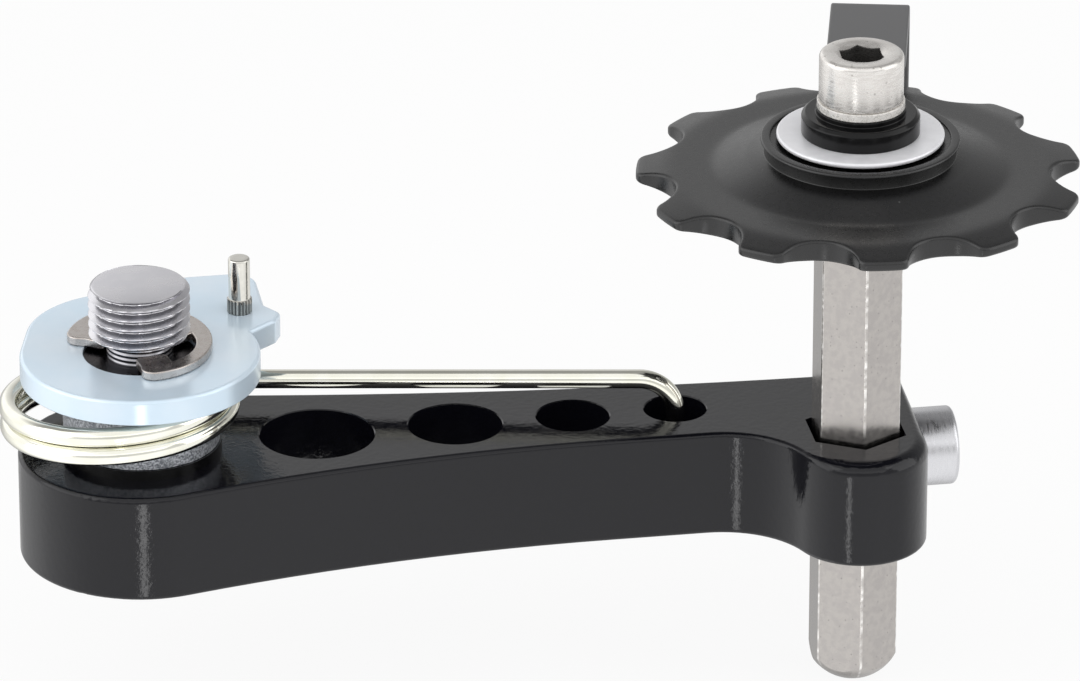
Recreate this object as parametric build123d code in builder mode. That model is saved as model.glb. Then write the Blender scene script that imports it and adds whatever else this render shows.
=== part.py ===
from build123d import *
import os
from math import acos, asin, atan2, cos, degrees, hypot, radians, sin, sqrt

# Bicycle chain tensioner, in millimetres.
# The origin is on the pivot axis, on the face where the frame's hanger seats.
# +Z runs along the hanger thread, +X along the arm towards the chainline bar.

# Clearances
run_gap = 0.06
press_gap = 0.02
bolt_gap = 0.15
face_gap = 0.05
play_gap = 0.25

# Pivot bolt
thread_radius = 5.0
thread_length = 5.36
thread_chamfer = 0.45
groove_radius = 3.3
groove_height = 1.85
shank_recess = 0.3
shank_radius = 5.5
head_radius = 7.9
head_height = 4.0
head_chamfer = 0.6
head_socket = 5.0
head_socket_depth = 5.0
head_proud = 1.0

# Retaining clip
clip_thickness = 0.9
clip_half_width = 7.2
clip_half_depth = 8.1
clip_set_back = 0.8
clip_inner = 5.5
clip_opening = 103.0
clip_opening_angle = 212.5
clip_prong_width = 3.2
clip_prong_count = 3
clip_corner = 1.3
clip_prong_corner = 0.5

# Stop plate and its pin
plate_thickness = 2.55
plate_radius = 11.8
plate_edge = 0.25
lobe_depth = 9.2
lobe_margin = 2.6
lobe_corner = 2.4
lobe_back_x = 6.75
lobe_back_corner = 4.0
shoulder_x = -9.0
shoulder_y = 12.5
shoulder_corner = 10.0
tab_reach = 4.0
tab_corner = 0.8
tab_foot_drop = 2.7
tab_nose_drop = 0.9
tab_back_rise = 1.2
notch_angle = 14.5
pin_x = 10.9
pin_y = 7.8
pin_radius = 1.08
pin_height = 5.77
pin_chamfer = 0.15
pin_collar_radius = 1.25
pin_collar_height = 1.5

# Torsion spring and the sleeve inside it
collar_radius = 7.7
collar_height = 6.7
collar_clearance = 0.2
wire_radius = 0.95
coil_radius = 10.9
coil_pitch = 1.95
coil_turns = 2.0
coil_lean_x = 0.035
coil_lean_y = -0.05
leg_height = 2.4
leg_bend = 3.6
leg_tail = 3.0
hook_bend = 1.6

# Pivot bushes
bush_wall = 1.5
flange_radius = 7.9
flange_thickness = 1.0
bush_sleeve = 4.0

# Arm
arm_thickness = 11.0
arm_edge = 0.5
pivot_end_radius = 12.2
neck_x = 46.0
neck_half_width = 6.5
end_half_width = 5.3
end_corner = 1.6
boss_radius = 6.7
boss_lead = 2.4
boss_fillet = 9.0
hole_positions = (17.4, 31.2, 43.0, 53.3)
hole_radii = (5.67, 4.68, 3.64, 3.1)
hole_rim = 0.4
slit_width = 1.6

# Chainline bar
bar_x = 70.1
bar_y = -7.33
bar_flats = 8.0
bar_turn = 90.0
bar_above_arm = 20.0
bar_below_arm = 16.2
bar_dome = 4.9
bar_top_chamfer = 0.4
bar_thread_depth = 13.0

# M5 cap screws
screw_radius = 2.5
screw_head_height = 4.85
screw_head_chamfer = 0.45
screw_socket = 4.0
screw_socket_depth = 2.6
screw_point = 0.5
clamp_head_radius = 3.94
clamp_screw_length = 16.0
clamp_screw_y = 0.5
clamp_screw_drop = 6.4
pulley_head_radius = 4.14
pulley_screw_length = 25.0

# Chain guard
guard_angle = 13.3
guard_width = 7.9
guard_thickness = 1.5
guard_reach = 30.8
guard_bend = 2.5
guard_tip_radius = 15.0
guard_tip_corner = 1.4
guard_above_wheel = 6.2

# Pulley wheel
tooth_count = 11
chain_pitch = 12.7
roller_seat = 3.95
tooth_phase = 3.0
tip_radius = 21.85
tip_corner = 1.0
tip_half_width = 0.45
taper_radius = 18.8
rim_half_width = 1.1
cone_radius = 14.5
cone_half_width = 2.6
hub_radius = 9.75
hub_half_width = 4.2
hub_band = 0.95
hub_edge = 0.2
recess_half_width = 3.95
wheel_bush_radius = 4.0

# Pulley stack
cap_radius = 8.2
cap_thickness = 0.55
cap_edge = 0.2
spacer_radius = 5.8
spacer_chamfer = 0.35
lower_spacer_height = 0.9
upper_spacer_height = 2.1
land_radius = 4.4
land_height = 0.56
washer_radius = 4.3
washer_thickness = 0.8
washer_split = 0.9
washer_split_angle = 75.0
washer_split_lean = 20.0

# Heights down the pivot bolt, from the hanger face
plate_top = -groove_height
plate_bottom = plate_top - plate_thickness
shank_top = plate_top - shank_recess
collar_bottom = plate_bottom - collar_height
flange_top = collar_bottom - face_gap
arm_top = flange_top - flange_thickness
arm_bottom = arm_top - arm_thickness
head_bottom = arm_bottom - head_proud
head_top = head_bottom + head_height
lower_flange_bottom = head_top + face_gap
lower_flange_top = lower_flange_bottom + flange_thickness
bushes_meet = arm_top - bush_sleeve

# Heights up the pulley stack, from the end of the bar
bar_top = arm_top + bar_above_arm
guard_top = bar_top + guard_thickness
lower_cap_bottom = guard_top + lower_spacer_height
lower_cap_top = lower_cap_bottom + cap_thickness
wheel_middle = lower_cap_top + play_gap + recess_half_width
upper_cap_bottom = wheel_middle + recess_half_width + play_gap
upper_cap_top = upper_cap_bottom + cap_thickness
shoulder_top = upper_cap_top + upper_spacer_height
land_top = shoulder_top + land_height
screw_seat = land_top + washer_thickness
guard_level = wheel_middle + guard_above_wheel

# Radii and places that follow from the sizes above
coil_offset = collar_radius + collar_clearance + wire_radius - coil_radius
bush_bore = shank_radius + run_gap
bush_radius = bush_bore + bush_wall
screw_hole = screw_radius + bolt_gap
tapped_hole = screw_radius + press_gap
boss_y = bar_y - boss_lead
arm_end_x = bar_x + boss_radius
clamp_screw_z = arm_top - clamp_screw_drop
pitch_radius = chain_pitch / (2 * sin(radians(180 / tooth_count)))
bar_axis = Axis((bar_x, bar_y, 0), (0, 0, 1))
clamp_axis = Axis((arm_end_x, clamp_screw_y, clamp_screw_z), (1, 0, 0))
bar_section_plane = Plane((bar_x, bar_y, 0), x_dir=(1, 0, 0), z_dir=(0, -1, 0))


def ring_section(plane, outer, inner, bottom, top):
    """Half section of a plain ring, on a plane that holds its axis."""
    with BuildSketch(plane) as section:
        with BuildLine():
            Polyline((inner, bottom), (outer, bottom), (outer, top), (inner, top), close=True)
        make_face()
    return section.sketch


def cap_screw_section(plane, head_radius, length):
    """Half section of a cap screw whose head seats at the plane's origin."""
    with BuildSketch(plane) as section:
        with BuildLine():
            Polyline(
                (0, -length),
                (screw_radius - screw_point, -length),
                (screw_radius, -length + screw_point),
                (screw_radius, 0),
                (head_radius, 0),
                (head_radius, screw_head_height - screw_head_chamfer),
                (head_radius - screw_head_chamfer, screw_head_height),
                (0, screw_head_height),
                close=True,
            )
        make_face()
    return section.sketch


def edge_arc(end_x, end_half_width):
    """Radius of an arm edge that is level at its end, and the angle where it meets the pivot end."""
    surplus = end_x**2 + end_half_width**2 - pivot_end_radius**2
    radius = surplus / (2 * (pivot_end_radius - end_half_width))
    return radius, degrees(atan2(end_half_width + radius, end_x))


# Pivot bolt: the hanger thread is a plain cylinder at its outer diameter
with BuildPart() as pivot_bolt:
    with BuildSketch(Plane.XZ) as bolt_section:
        with BuildLine():
            Polyline(
                (0, head_bottom),
                (head_radius - head_chamfer, head_bottom),
                (head_radius, head_bottom + head_chamfer),
                (head_radius, head_top),
                (shank_radius, head_top),
                (shank_radius, shank_top),
                (groove_radius, shank_top),
                (groove_radius, 0),
                (thread_radius, 0),
                (thread_radius, thread_length - thread_chamfer),
                (thread_radius - thread_chamfer, thread_length),
                (0, thread_length),
                close=True,
            )
        make_face()
    revolve(axis=Axis.Z)
    with BuildSketch(Plane.XY.offset(head_bottom)) as bolt_socket:
        RegularPolygon(head_socket / 2, 6, major_radius=False)
    extrude(amount=head_socket_depth, mode=Mode.SUBTRACT)

# Retaining clip: an open ring with prongs that reach into the bolt's groove
clip_bottom = plate_top + face_gap
prong_reach = groove_radius + press_gap
prong_root = (clip_inner + clip_half_width) / 2
prong_spread = 360 - clip_opening - 2 * degrees(asin(clip_prong_width / 2 / clip_inner))
mouth_way = (cos(radians(clip_opening_angle)), sin(radians(clip_opening_angle)), 0)
with BuildPart() as retaining_clip:
    with BuildSketch(Plane.XY.offset(clip_bottom)) as clip_outline:
        with Locations((0, clip_set_back)):
            Ellipse(clip_half_width, clip_half_depth)
        Circle(clip_inner, mode=Mode.SUBTRACT)
        with BuildLine():
            mouth_start = clip_opening_angle - clip_opening / 2
            mouth = CenterArc((0, 0), 2 * clip_half_depth, mouth_start, clip_opening)
            Line(mouth @ 1, (0, 0))
            Line((0, 0), mouth @ 0)
        make_face(mode=Mode.SUBTRACT)
        with PolarLocations(
            (prong_reach + prong_root) / 2,
            clip_prong_count,
            start_angle=clip_opening_angle + 180 - prong_spread / 2,
            angular_range=prong_spread,
            endpoint=True,
        ):
            Rectangle(prong_root - prong_reach, clip_prong_width)
        Circle(prong_reach, mode=Mode.SUBTRACT)
        fillet(clip_outline.vertices().sort_by(Axis((0, 0, 0), mouth_way))[-2:], radius=clip_corner)
        near_axis = clip_outline.vertices().filter_by(lambda corner: hypot(corner.X, corner.Y) < clip_inner)
        fillet(near_axis, radius=clip_prong_corner)
    extrude(amount=clip_thickness)

# Torsion spring: the leg runs from the coil's tangent to the arm's last hole, the hook into the plate
hook_hole_x = hole_positions[-1]
coil_reach = hook_hole_x - coil_offset
leg_angle = degrees(asin(coil_radius / coil_reach))
coil_plane = Plane((coil_offset, 0, 0), x_dir=(1, 0, coil_lean_x), z_dir=(-coil_lean_x, -coil_lean_y, 1))
with BuildLine() as spring_path:
    turns = Helix(coil_pitch, coil_turns * coil_pitch, coil_radius, mode=Mode.PRIVATE)
    turned = coil_plane.location * Rotation(0, 0, 90 - leg_angle) * turns
    coil = Location((0, 0, arm_top + leg_height - (turned @ 0).Z)) * turned
    add(coil)
    leg_way = -(coil % 0)
    leg_plan = Vector(leg_way.X, leg_way.Y, 0)
    leg_run = sqrt(coil_reach**2 - coil_radius**2) - leg_bend
    leg = Line(coil @ 0, coil @ 0 + leg_way * (leg_run / leg_plan.length))
    leg_turn = leg_plan.normalized() * leg_bend - Vector(0, 0, leg_bend)
    bend = TangentArc(leg @ 1, leg @ 1 + leg_turn, tangent=leg % 1)
    tail = Line(bend @ 1, bend @ 1 + (bend % 1) * leg_tail)
    hook_plan = Vector((coil % 1).X, (coil % 1).Y, 0).normalized()
    hook_turn = hook_plan * hook_bend + Vector(0, 0, hook_bend)
    hook = TangentArc(coil @ 1, coil @ 1 + hook_turn, tangent=coil % 1)
    Line(hook @ 1, hook @ 1 + (hook % 1) * (plate_top - play_gap - (hook @ 1).Z))
with BuildPart() as tension_spring:
    with BuildSketch(Plane(tail @ 1, z_dir=-(tail % 1))) as wire_section:
        Circle(wire_radius)
    sweep(path=spring_path.wires()[0])

# Stop plate: a disc with a lobe behind the pin and a stop tab beside it
lobe_side = pin_x + lobe_margin
lobe_back = pin_y + lobe_depth
shoulder_distance = hypot(shoulder_x, shoulder_y)
shoulder_angle = degrees(atan2(shoulder_y, shoulder_x) + acos(plate_radius / shoulder_distance))
with BuildPart() as stop_plate:
    with BuildSketch(Plane.XY.offset(plate_bottom)) as plate_outline:
        with BuildLine():
            disc = CenterArc((0, 0), plate_radius, shoulder_angle, 360 + notch_angle - shoulder_angle)
            FilletPolyline(
                disc @ 1,
                (pin_x + tab_reach - tab_corner, pin_y - tab_foot_drop),
                (pin_x + tab_reach, pin_y - tab_nose_drop),
                (lobe_side, pin_y + tab_back_rise),
                (lobe_side, lobe_back),
                (lobe_back_x, lobe_back),
                (shoulder_x, shoulder_y),
                disc @ 0,
                radius=(tab_corner, tab_corner, tab_corner, lobe_corner, lobe_back_corner, shoulder_corner),
            )
        make_face()
        Circle(shank_radius + run_gap, mode=Mode.SUBTRACT)
        with Locations((pin_x, pin_y)):
            Circle(pin_radius + press_gap, mode=Mode.SUBTRACT)
        with Locations(((hook @ 1).X, (hook @ 1).Y)):
            Circle(wire_radius + play_gap, mode=Mode.SUBTRACT)
    extrude(amount=plate_thickness)
    chamfer(stop_plate.faces().sort_by(Axis.Z)[-1].outer_wire().edges(), length=plate_edge)

# Stop pin: pressed into the plate up to its knurled collar
with BuildPart() as stop_pin:
    with BuildSketch(Plane.XY.offset(plate_bottom)) as pin_shank:
        with Locations((pin_x, pin_y)):
            Circle(pin_radius)
    extrude(amount=plate_thickness + pin_height)
    chamfer(stop_pin.faces().sort_by(Axis.Z)[-1].edges(), length=pin_chamfer)
    with BuildSketch(Plane.XY.offset(plate_top)) as pin_collar:
        with Locations((pin_x, pin_y)):
            Circle(pin_collar_radius)
    extrude(amount=pin_collar_height)

with BuildPart() as spring_collar:
    revolve(ring_section(Plane.XZ, collar_radius, bush_bore, collar_bottom, plate_bottom), axis=Axis.Z)

# Pivot bushes: one flange carries the collar, the other seats on the bolt's head
with BuildPart() as upper_bush:
    revolve(ring_section(Plane.XZ, flange_radius, bush_bore, arm_top, flange_top), axis=Axis.Z)
    revolve(ring_section(Plane.XZ, bush_radius, bush_bore, bushes_meet, arm_top), axis=Axis.Z)

with BuildPart() as lower_bush:
    lower_flange = ring_section(Plane.XZ, head_radius, bush_bore, lower_flange_bottom, lower_flange_top)
    revolve(lower_flange, axis=Axis.Z)
    lower_sleeve = ring_section(Plane.XZ, bush_radius, bush_bore, lower_flange_top, bushes_meet - face_gap)
    revolve(lower_sleeve, axis=Axis.Z)

# Arm: waisted lever, round at the pivot, with a split clamp boss round the bar
front_radius, front_angle = edge_arc(neck_x, neck_half_width)
back_radius, back_angle = edge_arc(arm_end_x, end_half_width)
fillet_y = -neck_half_width - boss_fillet
fillet_x = bar_x - sqrt((boss_radius + boss_fillet) ** 2 - (boss_y - fillet_y) ** 2)
fillet_angle = degrees(atan2(boss_y - fillet_y, bar_x - fillet_x))
with BuildPart() as arm:
    with BuildSketch(Plane.XY.offset(arm_bottom)) as arm_outline:
        with BuildLine():
            CenterArc((0, 0), pivot_end_radius, back_angle, 360 - back_angle - front_angle)
            front = CenterArc((neck_x, -neck_half_width - front_radius), front_radius, 90, 90 - front_angle)
            inside = CenterArc((fillet_x, fillet_y), boss_fillet, fillet_angle, 90 - fillet_angle)
            Line(front @ 0, inside @ 1)
            boss = CenterArc((bar_x, boss_y), boss_radius, 180 + fillet_angle, 180 - fillet_angle)
            back_y = end_half_width + back_radius
            back = CenterArc((arm_end_x, back_y), back_radius, 180 + back_angle, 90 - back_angle)
            Line(boss @ 1, back @ 1)
        make_face()
        fillet(arm_outline.vertices().group_by(Axis.X)[-1].sort_by(Axis.Y)[-1], radius=end_corner)
    extrude(amount=arm_thickness)
    arm_faces = arm.faces().sort_by(Axis.Z)
    fillet(arm_faces[0].edges() + arm_faces[-1].edges(), radius=arm_edge)
    with BuildSketch(Plane.XY.offset(arm_bottom)) as arm_holes:
        for hole_x, hole_radius in zip(hole_positions, hole_radii):
            with Locations((hole_x, 0)):
                Circle(hole_radius)
        with Locations((bar_x, bar_y)):
            RegularPolygon(bar_flats / 2 + run_gap, 6, major_radius=False, rotation=bar_turn)
    extrude(amount=arm_thickness, mode=Mode.SUBTRACT)
    arm_faces = arm.faces().sort_by(Axis.Z)
    rims = arm_faces[0].inner_wires().edges() + arm_faces[-1].inner_wires().edges()
    chamfer(rims.filter_by(GeomType.CIRCLE), length=hole_rim)
    pivot_bore = ring_section(Plane.XZ, bush_radius + press_gap, 0, arm_bottom, arm_top)
    revolve(pivot_bore, axis=Axis.Z, mode=Mode.SUBTRACT)
    head_pocket = ring_section(Plane.XZ, head_radius + play_gap, 0, arm_bottom, lower_flange_top)
    revolve(head_pocket, axis=Axis.Z, mode=Mode.SUBTRACT)
    with BuildSketch(Plane.XY.offset(arm_bottom)) as slit:
        with Locations((bar_x, bar_y)):
            Rectangle(slit_width, 2 * boss_radius + end_half_width, align=(Align.CENTER, Align.MIN))
    extrude(amount=arm_thickness, mode=Mode.SUBTRACT)
    with BuildSketch(Plane(clamp_axis.position, z_dir=(-1, 0, 0))) as clamp_tapping:
        Circle(tapped_hole)
    extrude(amount=clamp_screw_length + screw_point, mode=Mode.SUBTRACT)
    with BuildSketch(Plane(clamp_axis.position, z_dir=(-1, 0, 0))) as clamp_clearance:
        Circle(screw_hole)
    extrude(amount=boss_radius, mode=Mode.SUBTRACT)

# Clamp screw across the slit
with BuildPart() as clamp_bolt:
    clamp_plane = Plane(clamp_axis.position, x_dir=(0, 0, 1), z_dir=(0, 1, 0))
    revolve(cap_screw_section(clamp_plane, clamp_head_radius, clamp_screw_length), axis=clamp_axis)
    clamp_face = clamp_axis.position + Vector(screw_head_height, 0, 0)
    with BuildSketch(Plane(clamp_face, z_dir=(1, 0, 0))) as clamp_socket:
        RegularPolygon(screw_socket / 2, 6, major_radius=False)
    extrude(amount=-screw_socket_depth, mode=Mode.SUBTRACT)

# Chainline bar: hexagon with a domed lower end and a tapped upper end
bar_bottom = arm_bottom - bar_below_arm
with BuildPart() as chainline_bar:
    with BuildSketch(Plane.XY.offset(bar_bottom)) as bar_hexagon:
        with Locations((bar_x, bar_y)):
            RegularPolygon(bar_flats / 2, 6, major_radius=False, rotation=bar_turn)
    extrude(amount=bar_top - bar_bottom)
    with BuildSketch(bar_section_plane) as bar_envelope:
        with BuildLine():
            dome = CenterArc((0, bar_bottom + bar_dome), bar_dome, 270, 90)
            Polyline(
                dome @ 1,
                (bar_dome, bar_top - bar_top_chamfer - bar_dome + bar_flats / 2),
                (bar_flats / 2 - bar_top_chamfer, bar_top),
                (0, bar_top),
                dome @ 0,
            )
        make_face()
    revolve(axis=bar_axis, mode=Mode.INTERSECT)
    with BuildSketch(Plane.XY.offset(bar_top)) as bar_tapping:
        with Locations((bar_x, bar_y)):
            Circle(tapped_hole)
    extrude(amount=-bar_thread_depth, mode=Mode.SUBTRACT)

# Chain guard: strap bent up behind the pulley and back over its teeth
guard_way = Vector(sin(radians(guard_angle)), cos(radians(guard_angle)), 0)
guard_plane = Plane((bar_x, bar_y, 0), x_dir=guard_way, z_dir=guard_way.cross(Vector(0, 0, 1)))
guard_inner = guard_reach - guard_thickness
guard_underside = guard_level - guard_thickness
with BuildPart() as chain_guard:
    with BuildSketch(guard_plane) as guard_profile:
        with BuildLine():
            outside = FilletPolyline(
                (-guard_width / 2, bar_top),
                (guard_reach, bar_top),
                (guard_reach, guard_level),
                (guard_tip_radius, guard_level),
                radius=guard_bend,
            )
            inner_face = FilletPolyline(
                (guard_tip_radius, guard_underside),
                (guard_inner, guard_underside),
                (guard_inner, guard_top),
                (-guard_width / 2, guard_top),
                radius=guard_bend - guard_thickness,
            )
            Line(outside @ 1, inner_face @ 0)
            Line(inner_face @ 1, outside @ 0)
        make_face()
    extrude(amount=guard_width / 2, both=True)
    strap_ends = chain_guard.edges().filter_by(Axis.Z).filter_by(lambda edge: edge.length < guard_bend)
    fillet(strap_ends.group_by(Axis.Z)[0], radius=guard_width / 2 - face_gap)
    strap_ends = chain_guard.edges().filter_by(Axis.Z).filter_by(lambda edge: edge.length < guard_bend)
    fillet(strap_ends.group_by(Axis.Z)[-1], radius=guard_tip_corner)
    with BuildSketch(Plane.XY.offset(bar_top)) as guard_hole:
        with Locations((bar_x, bar_y)):
            Circle(screw_hole)
    extrude(amount=guard_thickness, mode=Mode.SUBTRACT)

# Pulley wheel: roller seats cut from a disc that thickens in a cone towards its hub
rim_steps = (
    (wheel_bush_radius + run_gap, recess_half_width),
    (hub_radius - hub_band, recess_half_width),
    (hub_radius - hub_band, hub_half_width),
    (hub_radius, hub_half_width),
    (hub_radius, cone_half_width),
    (cone_radius, rim_half_width),
    (taper_radius, rim_half_width),
    (tip_radius, tip_half_width),
)
with BuildPart() as pulley_wheel:
    with BuildSketch(Plane((bar_x, bar_y, wheel_middle))) as tooth_outline:
        Circle(tip_radius)
        with PolarLocations(pitch_radius, tooth_count, start_angle=tooth_phase + 180 / tooth_count):
            Circle(roller_seat, mode=Mode.SUBTRACT)
        fillet(tooth_outline.vertices(), radius=tip_corner)
    extrude(amount=hub_half_width, both=True)
    with BuildSketch(bar_section_plane) as wheel_section:
        with BuildLine():
            Polyline(
                *[(radius, wheel_middle + half) for radius, half in rim_steps],
                *[(radius, wheel_middle - half) for radius, half in reversed(rim_steps)],
                close=True,
            )
        make_face()
        hub_corners = wheel_section.vertices().group_by(Axis.Y)
        fillet(hub_corners[0] + hub_corners[-1], radius=hub_edge)
    revolve(axis=bar_axis, mode=Mode.INTERSECT)

with BuildPart() as pulley_bush:
    bush_section = ring_section(
        bar_section_plane, wheel_bush_radius, screw_hole, lower_cap_top, upper_cap_bottom
    )
    revolve(bush_section, axis=bar_axis)

# Dust caps, spacers and lock washer, from the guard up to the screw's head
with BuildPart() as lower_dust_cap:
    lower_cap = ring_section(bar_section_plane, cap_radius, screw_hole, lower_cap_bottom, lower_cap_top)
    revolve(lower_cap, axis=bar_axis)
    fillet(lower_dust_cap.faces().sort_by(Axis.Z)[0].outer_wire().edges(), radius=cap_edge)

with BuildPart() as upper_dust_cap:
    upper_cap = ring_section(bar_section_plane, cap_radius, screw_hole, upper_cap_bottom, upper_cap_top)
    revolve(upper_cap, axis=bar_axis)
    fillet(upper_dust_cap.faces().sort_by(Axis.Z)[-1].outer_wire().edges(), radius=cap_edge)

with BuildPart() as lower_spacer:
    spacer_ring = ring_section(bar_section_plane, spacer_radius, screw_hole, guard_top, lower_cap_bottom)
    revolve(spacer_ring, axis=bar_axis)

with BuildPart() as upper_spacer:
    with BuildSketch(bar_section_plane) as upper_spacer_section:
        with BuildLine():
            Polyline(
                (screw_hole, upper_cap_top),
                (spacer_radius, upper_cap_top),
                (spacer_radius, shoulder_top - spacer_chamfer),
                (spacer_radius - spacer_chamfer, shoulder_top),
                (land_radius, shoulder_top),
                (land_radius, land_top),
                (screw_hole, land_top),
                close=True,
            )
        make_face()
    revolve(axis=bar_axis)

with BuildPart() as lock_washer:
    with BuildSketch(Plane((bar_x, bar_y, land_top))) as washer_outline:
        Circle(washer_radius)
        Circle(screw_hole, mode=Mode.SUBTRACT)
        with PolarLocations(washer_radius, 1, start_angle=washer_split_angle):
            split_reach = 2 * (washer_radius - screw_hole)
            Rectangle(split_reach, washer_split, rotation=washer_split_lean, mode=Mode.SUBTRACT)
    extrude(amount=washer_thickness)

with BuildPart() as pulley_bolt:
    pulley_bolt_plane = Plane((bar_x, bar_y, screw_seat), x_dir=(1, 0, 0), z_dir=(0, -1, 0))
    screw_section = cap_screw_section(pulley_bolt_plane, pulley_head_radius, pulley_screw_length)
    revolve(screw_section, axis=bar_axis)
    with BuildSketch(Plane((bar_x, bar_y, screw_seat + screw_head_height))) as pulley_bolt_socket:
        RegularPolygon(screw_socket / 2, 6, major_radius=False)
    extrude(amount=-screw_socket_depth, mode=Mode.SUBTRACT)

pieces = {
    "pivot_bolt": pivot_bolt,
    "retaining_clip": retaining_clip,
    "stop_plate": stop_plate,
    "stop_pin": stop_pin,
    "spring_collar": spring_collar,
    "tension_spring": tension_spring,
    "upper_bush": upper_bush,
    "lower_bush": lower_bush,
    "arm": arm,
    "clamp_bolt": clamp_bolt,
    "chainline_bar": chainline_bar,
    "chain_guard": chain_guard,
    "lower_spacer": lower_spacer,
    "lower_dust_cap": lower_dust_cap,
    "pulley_bush": pulley_bush,
    "pulley_wheel": pulley_wheel,
    "upper_dust_cap": upper_dust_cap,
    "upper_spacer": upper_spacer,
    "lock_washer": lock_washer,
    "pulley_bolt": pulley_bolt,
}
os.makedirs("parts", exist_ok=True)
for name, piece in pieces.items():
    piece.part.label = name
    export_step(piece.part, f"parts/{name}.step")
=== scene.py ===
"""Look of a bicycle chain tensioner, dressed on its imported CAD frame.

Sizes in the classes are millimetres in the part's own frame: the pivot axis is Z, the hanger seats at height
0 and the arm runs along X. A mesh is turned into metres when it is written.
"""

import logging
import math
from collections.abc import Sequence
from dataclasses import dataclass
from enum import Enum

import bmesh
import bpy
import numpy as np
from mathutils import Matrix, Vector

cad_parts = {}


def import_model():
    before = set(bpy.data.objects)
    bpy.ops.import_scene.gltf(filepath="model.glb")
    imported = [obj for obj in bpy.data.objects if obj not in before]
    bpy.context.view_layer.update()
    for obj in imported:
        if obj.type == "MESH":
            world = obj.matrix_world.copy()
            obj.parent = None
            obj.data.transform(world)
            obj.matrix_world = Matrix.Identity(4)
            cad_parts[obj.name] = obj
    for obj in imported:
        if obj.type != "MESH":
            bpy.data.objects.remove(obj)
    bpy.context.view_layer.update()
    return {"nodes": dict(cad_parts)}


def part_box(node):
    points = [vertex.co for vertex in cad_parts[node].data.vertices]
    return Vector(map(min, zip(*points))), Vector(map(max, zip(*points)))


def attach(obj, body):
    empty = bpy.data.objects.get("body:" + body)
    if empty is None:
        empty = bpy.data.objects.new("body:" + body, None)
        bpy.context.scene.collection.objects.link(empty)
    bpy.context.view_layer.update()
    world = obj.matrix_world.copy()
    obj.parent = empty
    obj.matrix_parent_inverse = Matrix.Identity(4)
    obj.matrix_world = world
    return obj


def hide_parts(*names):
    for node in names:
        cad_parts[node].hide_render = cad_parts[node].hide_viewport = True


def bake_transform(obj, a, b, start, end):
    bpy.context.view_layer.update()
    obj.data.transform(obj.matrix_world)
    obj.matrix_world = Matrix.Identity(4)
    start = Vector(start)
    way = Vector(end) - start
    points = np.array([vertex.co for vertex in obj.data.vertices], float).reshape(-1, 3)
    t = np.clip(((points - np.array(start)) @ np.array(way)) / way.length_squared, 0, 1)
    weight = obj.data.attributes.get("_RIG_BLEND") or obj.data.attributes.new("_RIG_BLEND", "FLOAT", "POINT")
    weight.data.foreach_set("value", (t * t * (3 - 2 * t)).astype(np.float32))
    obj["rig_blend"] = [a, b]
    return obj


LOG = logging.getLogger("chain_tensioner")
MM = 0.001
# Mesh attribute of the painted shading: painted shade on most pieces, a painted reflection under the spring's
# leg, painted glints on the bar's edges.
PAINTED_SHADING = "shade"
FULL_TURN = 2 * math.pi
SIXTH = math.pi / 3
# Turn in radians under which a corner of a profile counts as straight.
STRAIGHT = 1e-6
Triple = tuple[float, float, float]
Rgba = tuple[float, float, float, float]
Stop = tuple[float, float]
Tree = bpy.types.NodeTree
Socket = bpy.types.NodeSocket
Material = bpy.types.Material
Piece = bpy.types.Object


class Grain(Enum):
    """How much finer a finish's clouds are along X, Y and Z."""

    MOTTLE = (1.0, 1.0, 1.0)
    TURNED_ON_X = (3.0, 0.5, 0.5)
    TURNED_ON_Z = (0.5, 0.5, 3.0)


class Along(Enum):
    """Direction of a turned piece's axis, by the place of its coordinate."""

    X = 0
    Z = 2


def linear(colour: Triple) -> Rgba:
    """Turn a display colour into the linear colour that a shader takes, by the sRGB curve.

    Args:
        colour: red, green and blue from 0 to 255 as seen on a screen.

    Returns:
        Linear red, green, blue and an alpha of 1.
    """
    part = np.asarray(colour, float) / 255
    low = part / 12.92
    high = ((part + 0.055) / 1.055) ** 2.4
    return (*np.where(part <= 0.04045, low, high).tolist(), 1.0)


def grey(level: float) -> Rgba:
    """Linear grey of a brightness."""
    return (level, level, level, 1.0)


def added(tree: Tree, kind: str, inputs: dict[str | int, object], **options: str) -> bpy.types.Node:
    """Add a shader node.

    Args:
        tree: node tree to add to.
        kind: the node's type, without its prefix.
        inputs: value or incoming link of each input, by name or place.
        options: settings of the node.

    Returns:
        The new node.
    """
    node = tree.nodes.new(f"ShaderNode{kind}")
    for option, choice in options.items():
        setattr(node, option, choice)
    for name, given in inputs.items():
        if isinstance(given, Socket):
            tree.links.new(given, node.inputs[name])
        else:
            node.inputs[name].default_value = given
    return node


def computed(tree: Tree, operation: str, *terms: Socket | float) -> Socket:
    """Result of a Math node's operation on one or two terms."""
    return added(tree, "Math", dict(enumerate(terms)), operation=operation).outputs[0]


def mixed(tree: Tree, amount: Socket, under: Socket | Rgba, over: Socket | Rgba) -> Socket:
    """Colour between two others.

    Args:
        tree: node tree to add to.
        amount: how much of the upper colour shows, from 0 to 1.
        under: colour below.
        over: colour above.

    Returns:
        Output socket with the mixed colour.
    """
    inputs = {"Factor": amount, "A": under, "B": over}
    return added(tree, "Mix", inputs, data_type="RGBA").outputs["Result"]


def blank(name: str) -> Material:
    """Make a material with a node tree.

    Args:
        name: name of the material.

    Returns:
        The new material.
    """
    material = bpy.data.materials.new(name)
    material.use_nodes = True
    return material


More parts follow.
